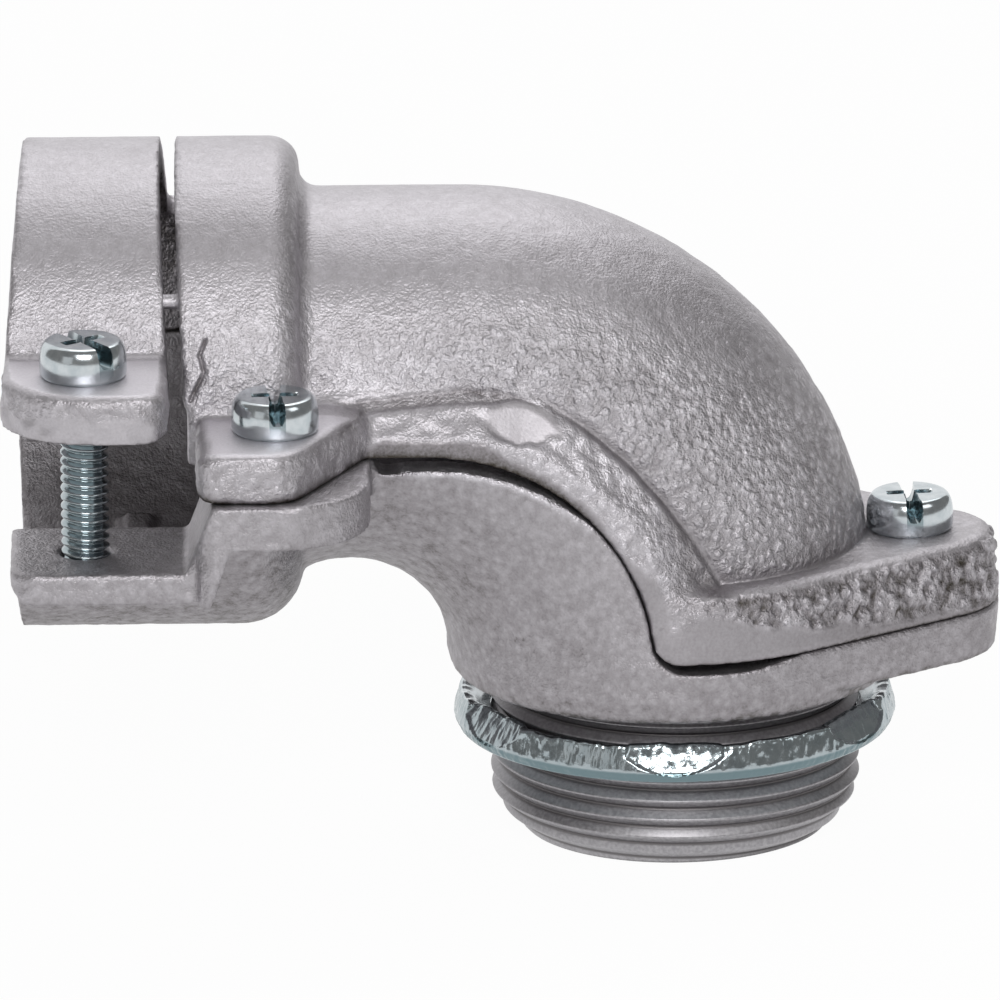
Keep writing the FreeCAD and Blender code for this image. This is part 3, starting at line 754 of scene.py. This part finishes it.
def slot_web():
    """Oval carried along x, tilted round the clamp axis; half sizes grow as 1 + 0.5 u^4 to both ends."""
    u = np.linspace(-1, 1, 21)[:, None]
    t = np.arange(40)[None, :] * (2 * np.pi / 40)
    swell = 1 + 0.5 * u ** 4
    out, along = WEB_R + WEB_THICK * swell * np.cos(t), WEB_WIDE * swell * np.sin(t)
    y = -out * math.cos(WEB_TILT) + along * math.sin(WEB_TILT)
    z = CLAMP_AXIS_Z + out * math.sin(WEB_TILT) + along * math.cos(WEB_TILT)
    rows = np.stack([WEB_X + WEB_HALF * u + 0 * t, y, z], -1)
    piece = ring_surface("slot_web", rows, cast_iron, cap_ends=True)
    mark(piece.data, "skin", np.full(y.shape, 0.3))
    mark(piece.data, "tone", np.full(y.shape, 0.5))
    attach(piece, "castings")
    print(piece.name, "faces:", len(piece.data.polygons))


slot_web()

# %% [markdown]
# A thread is a ridge that climbs one pitch per turn. On a grid of height z and angle a the ridge phase is
# z/pitch + a/(2 pi), and the radius is the root plus a trapezium wave of that phase. A Screw modifier could
# wind a profile as well, but it leaves open ends that would have to be closed by hand.

# %% thread wave
def turns(count):
    """Angles of a closed ring of count columns."""
    return np.arange(count) * (2 * np.pi / count)


def thread_wave(z, angle, pitch, crest=0.12):
    """Trapezium wave of a 60 degree thread, 1 on the crest and 0 at the root."""
    phase = (z / pitch + angle / (2 * np.pi)) % 1.0
    return np.clip((np.abs(phase - 0.5) * 2 - crest) / (1 - 2 * crest), 0, 1)


def revolve(radius, z, angle):
    """Points at a radius and height for each row and column."""
    return np.stack([radius * np.cos(angle), radius * np.sin(angle), z * np.ones_like(radius)], -1)


print("crest share of a thread wave:", (thread_wave(np.linspace(0, 1, 201), 0.0, 1.0) == 1).mean().round(2))

# %% [markdown]
# The hub has the straight 1 1/4 inch pipe thread, 11.5 turns per inch, and a tapered end. A bump could
# draw the thread, but its outline would stay smooth. So the section is carried round as a closed loop:
# down the thread, along the end face and back up through the throat.

# %% threaded hub
HUB_R, HUB_PITCH, HUB_THREAD = 21.0, 2.209, 0.95
TAPER_Z, TAPER_LONG, TAPER_IN = -13.6, 5.2, 3.5
THROAT = np.array([(17.3, -18.9), (16.9, -18.85), (16.0, -17.7), (15.95, -10.0), (15.95, -3.0),
                   (15.95, -0.2)])


def hub():
    """Closed loop of the hub wall carried round the axis, its outside cut by the thread wave."""
    angle = turns(300)[None, :]
    z_out = np.linspace(-0.2, -18.6, 210)[:, None]
    taper = np.clip((TAPER_Z - z_out) / TAPER_LONG, 0, 1)
    root = 1 - thread_wave(z_out, angle, HUB_PITCH, 0.07)
    outside = HUB_R - TAPER_IN * taper ** 1.7 - HUB_THREAD * root * (1 - 0.4 * taper)
    inside = revolve(THROAT[:, :1] + 0 * angle, THROAT[:, 1:], angle)
    rows = np.concatenate([revolve(outside, z_out, angle), inside])
    piece = ring_surface("hub_thread", rows, cut_thread, close_rows=True)
    # Painted shade in the thread roots.
    mark(piece.data, "recess", step(0.7, 1.0, root))
    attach(piece, "castings")
    print(piece.name, "faces:", len(piece.data.polygons))


hub()

# %% [markdown]
# The screws are 12-24 binding-head machine screws with a slot and a cross recess. A head is a turned
# profile carried round its axis. A Boolean would cut the recess, but it leaves long thin faces that shade
# badly. To keep the walls of the recess crisp, the columns of the grid are not spread evenly: on every row
# some columns run exactly along the slot walls and the cross walls.

# %% columns and profile of a screw head
SLOT_W, SLOT_DEEP = 1.5, 2.3
CROSS_W, CROSS_DEEP, CROSS_R = 1.35, 1.5, 2.7
HEAD_H = 4.15
CORE_R = 0.8  # inside this radius slot and cross run together
IN_SLOT, LAND, IN_CROSS = 0, 1, 2
SLOT_COLS, LAND_COLS, CROSS_COLS = 8, 18, 4


def quadrant(radius):
    """Angles of one quarter turn for each row: inside the slot, the land, inside the cross bar."""
    r = np.maximum(radius, 1.02)[:, None]
    half = SLOT_W / 2 * (1 + 0.25 * step(2.6, 4.9, r))
    slot = np.arcsin(half / r)
    cross = np.pi / 2 - np.arcsin(CROSS_W / 2 / r)
    eps = 0.03 / r
    across = np.linspace(0, 1, SLOT_COLS)
    inside = across[None, :] * (slot - eps)
    land = slot + eps + np.linspace(0, 1, LAND_COLS)[None, :] * np.maximum(cross - slot - 2 * eps, 0)
    bar = cross + eps + np.linspace(0, 1, CROSS_COLS + 1)[None, :-1] * (np.pi / 2 - cross - eps)
    kind = np.repeat([IN_SLOT, LAND, IN_CROSS], [SLOT_COLS, LAND_COLS, CROSS_COLS])
    across = np.concatenate([across, np.zeros(LAND_COLS + CROSS_COLS)])
    return np.concatenate([inside, land, bar], 1), kind, across


def full_turn(radius):
    """Four mirrored quarter turns as a ring of angles, with each column's kind and place in the slot."""
    q, kind, across = quadrant(radius)
    last = np.full((len(radius), 1), np.pi / 2)
    half = np.concatenate([q, last, np.pi - q[:, :0:-1]], 1)
    kinds = np.concatenate([kind, [IN_CROSS], kind[:0:-1]])
    places = np.concatenate([across, [0.0], across[:0:-1]])
    return np.concatenate([half, half + np.pi], 1), np.tile(kinds, 2), np.tile(places, 2)


def head_rows():
    """Radius and height of the head's rows: flat top, elliptic shoulder, upright side, underside."""
    r = [0.02, 0.4, 0.8, 1.2, 1.6, 2.0, 2.4, 2.7, 3.0, 3.3, 3.6, 3.75, 3.9]
    z = [HEAD_H] * len(r)
    a = np.radians(np.linspace(84, 6, 16))
    r += (3.95 + 0.98 * np.cos(a)).tolist()
    z += (2.0 + 2.13 * np.sin(a)).tolist()
    r += [4.95, 4.95, 4.93, 4.85, 4.7, 4.2, 2.5]
    z += [1.87, 1.83, 0.5, 0.2, 0.02, 0.0, 0.0]
    return np.array(r), np.array(z)


print("rows of a screw head:", len(head_rows()[0]))

# %% [markdown]
# The bottom of the slot is rounded across, so that it shades softly, and the wings of the cross slope up
# outward. The shank is a thread wave with a bevelled tip.

# %% screws
SHANK_R, SHANK_ROOT, SHANK_PITCH = 2.74, 2.14, 1.058
TIP_R, TIP_SLOPE, ROW_MM = 2.1, 1.1, 0.085
BELOW_SLOT = 5  # rows at the foot of the head that the slot leaves whole


def screw_head(name, x, y, seat, drive_deg):
    """Turned head with a round-bottomed slot, depth 1 - u^4/2 across it, and cross wings that slope up."""
    r, z = head_rows()
    angle, kind, across = full_turn(r)
    radius = r[:, None] + 0 * angle
    height = z[:, None] + 0 * angle
    on_top = np.arange(len(r))[:, None] < len(r) - BELOW_SLOT
    in_slot = (kind == IN_SLOT)[None, :] & on_top | (radius < CORE_R)
    wing = np.clip((CROSS_R - radius) / (CROSS_R - CORE_R), 0, 1) * (kind == IN_CROSS)[None, :]
    height = np.minimum(height, HEAD_H - CROSS_DEEP * wing)
    floor_z = HEAD_H - SLOT_DEEP * (1 - 0.5 * across[None, :] ** 4)
    height = np.where(in_slot, np.minimum(height, floor_z), height)
    turn = angle + math.radians(drive_deg)
    rows = np.stack([x + radius * np.cos(turn), y + radius * np.sin(turn), seat + height], -1)
    piece = ring_surface(name + "_head", rows, zinc_plate, cap_ends=True)
    # Painted shade in the slot and the cross recess.
    mark(piece.data, "recess", np.where(in_slot | (wing > 0.05), 0.7, 0.0))
    piece.data.set_sharp_from_angle(angle=math.radians(32))
    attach(piece, name)
    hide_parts(name)
    print(piece.name, "faces:", len(piece.data.polygons))


def screw_shank(name, x, y, seat, length):
    """Threaded shank from the head to a bevelled tip: the smaller of thread radius and tip cone."""
    angle = turns(72)[None, :]
    z = np.linspace(0.1, -length, int(length / ROW_MM))[:, None]
    wave = thread_wave(z, angle, SHANK_PITCH)
    tip = np.minimum(SHANK_R, TIP_R + (z + length) * TIP_SLOPE)
    radius = np.minimum(SHANK_ROOT + (SHANK_R - SHANK_ROOT) * wave, tip + 0 * angle)
    rows = revolve(radius, z, angle) + np.array([x, y, seat])
    piece = ring_surface(name + "_shank", rows, zinc_plate, cap_ends=True)
    # Painted shade in the thread roots, over a bluer grey along the whole shank.
    mark(piece.data, "recess", 0.6 - 0.3 * wave)
    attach(piece, name)
    print(piece.name, "faces:", len(piece.data.polygons))


# place x and y, height of the seat, length, turn of the slot
SCREWS = {
    "strap_screw": (-66.4, -32.3, 44.5, 24.6, -56.0),
    "cover_screw": (-44.8, -32.3, 37.8, 9.5, 94.0),
    "heel_screw": (27.0, 0.0, 15.5, 12.7, -83.0),
}
for name, (x, y, seat, length, drive) in SCREWS.items():
    screw_head(name, x, y, seat, drive)
    screw_shank(name, x, y, seat, length)

# %% [markdown]
# The locknut is a stamped, dished steel ring with six notches sheared into its rim, so a screwdriver
# can drive it. Its section is a closed loop of points carried round the hub, and in each notch the
# outer points move inward along a scoop. The press tore the outer face instead of cutting it clean, so
# that face is roughened by noise drawn out upright and takes a little of the recess colour, and the bevel
# below it, which faces down, has the darker recess colour as painted shade.

# %% locknut
NOTCHES, NOTCH_HALF_DEG = 6, 13.3
NUT_R, TORN_MM, TORN_DEEP, RIM_SAG = 25.0, 0.4, 0.17, 0.35
NUT_SECTION = np.array([
    (21.08, -6.9), (21.3, -7.0), (22.6, -7.0), (23.8, -7.0), (24.55, -7.0), (24.8, -6.8), (25.05, -6.3),
    (25.25, -5.75), (25.22, -5.5), (25.1, -5.0), (24.97, -4.5), (24.84, -4.0), (24.71, -3.5), (24.6, -3.05),
    (24.48, -2.8), (24.2, -2.7), (23.8, -2.76), (23.2, -3.1), (22.4, -3.6), (21.4, -4.2), (21.08, -4.4),
    (21.08, -5.2), (21.08, -6.1)])


def nut_section(count):
    """Radius and height of count points spread along the closed section loop."""
    spread = np.linspace(0, len(NUT_SECTION), count, endpoint=False)
    loop = np.concatenate([NUT_SECTION, NUT_SECTION[:1]])
    return [np.interp(spread, np.arange(len(loop)), column)[:, None] for column in loop.T]


def locknut():
    """Closed section loop carried round the axis; in a notch the rim leans in above a U-shaped lower edge."""
    angle = turns(840)[None, :]
    r, z = nut_section(112)
    pitch = 2 * np.pi / NOTCHES
    off = np.degrees(np.abs((angle + np.pi / 2 + pitch / 2) % pitch - pitch / 2))
    notch = 1 - step(12.6, 13.5, off)
    lower_edge = -6.2 + 2.0 * np.clip(off / NOTCH_HALF_DEG, 0, 1) ** 2
    above = np.clip(z - lower_edge, 0, 9)
    depth = notch * step(22.2, 24.3, r) * (0.2 * step(0, 0.25, above) + 0.36 * above)
    face = np.maximum(step(24.3, 24.55, r) * step(-7.0, -6.7, z + 0 * angle), step(0.02, 0.3, depth))
    plain = revolve(r + 0 * angle, z, angle + 0 * r)
    torn = field((plain * np.array([1, 1, 0.3])).reshape(-1, 3), TORN_MM).reshape(plain.shape[:2])
    depth = depth + TORN_DEEP * torn * face
    circle = np.stack([np.cos(angle[0]), np.sin(angle[0]), 0 * angle[0]], -1) * NUT_R
    rim = step(22.8, 24.2, r) * step(-4.2, -2.9, z)
    sag = RIM_SAG * rim * (1 - field(circle, 1.3))[None, :]
    rows = revolve(r - depth, z - sag, angle + 0 * r)
    piece = ring_surface("locknut_ring", rows, zinc_plate, close_rows=True)
    mark(piece.data, "shear", face)
    # Painted shade: the lower bevel, which faces down, gets the recess colour; the torn face a little of it.
    mark(piece.data, "recess", np.maximum(step(-5.5, -6.0, z) * step(22.5, 23.5, r), 0.4 * face))
    piece.data.set_sharp_from_angle(angle=math.radians(40))
    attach(piece, "locknut")
    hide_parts("locknut")
    print(piece.name, "faces:", len(piece.data.polygons))


locknut()

# %% [markdown]
# The studio is a pale floor and a white world. Camera, glossy and transmission rays see plain white,
# while the light that falls on the part comes from four soft lamps and a weaker world. The floor is
# part glow, part diffuse, so the shadow of the part stays on it. Metal shows what stands round it, so a
# dome of dim cloth, open at the back, gives the castings and screws their darker tones. Camera and shadow
# rays pass it by, reflections show it, and it lights the part a little.

# %% floor, world and cloth
WORLD_DIM, FLOOR_GLOW, CLOTH_GLOW = 0.5, 0.96, 0.27
FLOOR_Z, FLOOR_HALF, CLOTH_R = -18.95, 4000.0, 1700.0


def seen_directly(tree):
    """1 for camera, glossy and transmission rays, 0 for the light that falls on surfaces."""
    path = node(tree, "ShaderNodeLightPath")
    seen = node(tree, "ShaderNodeMath", {"operation": "MAXIMUM"}, _0=(path, "Is Camera Ray"),
                _1=(path, "Is Glossy Ray"))
    return node(tree, "ShaderNodeMath", {"operation": "MAXIMUM"}, _0=(seen, 0),
                _1=(path, "Is Transmission Ray"))


def studio_world():
    """World that is white where it is seen and lights weakly."""
    world = bpy.data.worlds.new("studio")
    bpy.context.scene.world = world
    world.use_nodes = True
    tree = world.node_tree
    tree.nodes.clear()
    out = tree.nodes.new("ShaderNodeOutputWorld")
    level = node(tree, "ShaderNodeMapRange", None, Value=(seen_directly(tree), 0), To_Min=WORLD_DIM,
                 To_Max=1.0)
    glow = node(tree, "ShaderNodeBackground", None, Color=colour("ffffff"), Strength=(level, 0))
    tree.links.new(glow.outputs[0], out.inputs["Surface"])


def floor():
    """Wide plane under the hub end."""
    made, tree, out = new_material("pale_floor")
    matt = node(tree, "ShaderNodeBsdfDiffuse", None, Color=colour("fafafa"))
    glow = node(tree, "ShaderNodeEmission", None, Color=colour("ffffff"), Strength=1.0)
    share = node(tree, "ShaderNodeMath", {"operation": "MULTIPLY"}, _0=(seen_directly(tree), 0),
                 _1=FLOOR_GLOW)
    mix = node(tree, "ShaderNodeMixShader", None, _0=(share, 0), _1=(matt, 0), _2=(glow, 0))
    tree.links.new(mix.outputs[0], out.inputs["Surface"])
    corners = np.array([(-1, -1), (1, -1), (1, 1), (-1, 1)]) * FLOOR_HALF
    corners = np.column_stack([corners, np.full(4, FLOOR_Z)])
    mesh_object("floor", corners, [[0, 1, 2, 3]], made)


def dark_room(radius, glow):
    """Dome round the front, radius * (cos a cos e, sin a cos e, sin e), not met by camera or shadow rays."""
    made, tree, out = new_material("dark_studio_cloth")
    shine = node(tree, "ShaderNodeEmission", None, Color=colour("f2f0ee"), Strength=glow)
    tree.links.new(shine.outputs[0], out.inputs["Surface"])
    a = np.radians(np.linspace(-205, 60, 60))[:, None]
    e = np.radians(np.linspace(0, 87, 26))[None, :]
    points = np.stack([np.cos(a) * np.cos(e), np.sin(a) * np.cos(e), np.sin(e) + 0 * a], -1) * radius
    rows, cols = points.shape[:2]
    faces = grid_faces(rows, cols, False).reshape(rows - 1, cols, 4)[:, :-1].reshape(-1, 4)
    cloth = mesh_object("dark_room", points.reshape(-1, 3), faces.tolist(), made)
    cloth.visible_camera = False
    cloth.visible_shadow = False


studio_world()
floor()
dark_room(CLOTH_R, CLOTH_GLOW)
print("stage: floor, world and dark room")

# %% [markdown]
# The main softbox stands in front of the part, about 35 degrees up, and gives the broad highlight along
# the dome. Weaker ones fill from left and right, and one behind lifts the top edge. Area lamps of that
# size give the soft shading of a product photograph, where small lamps would leave hard spots.

# %% lamps
AIM = np.array([-0.02, 0.0, 0.02])


def softbox(name, where, width, height, power):
    """Area lamp of a width and height in metres that faces the part."""
    lamp = bpy.data.lights.new(name, "AREA")
    lamp.shape = "RECTANGLE"
    lamp.size, lamp.size_y = width, height
    lamp.energy = power
    piece = bpy.data.objects.new(name, lamp)
    piece.location = where
    back = np.array(where) - AIM
    back = back / np.linalg.norm(back)
    right = np.cross((0, 0, 1), back)
    right = right / np.linalg.norm(right)
    turn = np.stack([right, np.cross(back, right), back], 1)
    piece.rotation_euler = Matrix(turn.tolist()).to_euler()
    bpy.context.scene.collection.objects.link(piece)


softbox("softbox_front", (0.0, -0.92, 0.66), 0.6, 0.45, 6.2)
softbox("softbox_left", (-0.75, -0.8, 0.3), 0.5, 0.5, 0.4)
softbox("softbox_right", (0.9, -0.55, 0.85), 0.5, 0.5, 1.4)
softbox("softbox_back", (0.15, 0.65, 1.0), 0.8, 0.8, 2.5)
print("lamps:", sorted(lamp.name for lamp in bpy.data.lights))

# %% [markdown]
# The camera stands far off with a long lens, because the photograph has almost no perspective. It looks
# along +Y, 17 degrees down, with a small roll. The frame is square, 113.8 mm wide at the part.

# %% camera
SENSOR_MM = 36.0
FRAME_MM = 113.8


def camera(azimuth, elevation, roll, distance, centre):
    """Camera at a distance from the centre of the frame, turned by azimuth, elevation and roll."""
    a, e, t = np.radians([azimuth, elevation, roll])
    look = np.array([-np.sin(a) * np.cos(e), np.cos(a) * np.cos(e), -np.sin(e)])
    right = np.array([np.cos(a), np.sin(a), 0.0])
    up = np.cross(right, look)
    right, up = right * np.cos(t) - up * np.sin(t), right * np.sin(t) + up * np.cos(t)
    aim = np.array([0.0, 0.0, CLAMP_AXIS_Z]) + right * centre[0] + up * centre[1]
    data = bpy.data.cameras.new("camera")
    data.sensor_width = SENSOR_MM
    data.lens = SENSOR_MM * distance / FRAME_MM
    data.clip_end = 20.0
    piece = bpy.data.objects.new("camera", data)
    place = np.eye(4)
    place[:3, :3] = np.stack([right, up, -look], 1)
    place[:3, 3] = (aim - look * distance) * MM
    piece.matrix_world = Matrix(place.tolist())
    bpy.context.scene.collection.objects.link(piece)
    bpy.context.scene.camera = piece
    print("lens:", round(data.lens), "mm")


camera(0.3, 17.4, 0.63, 4400.0, (-19.5, -14.2))
bpy.context.scene.view_settings.view_transform = "Standard"
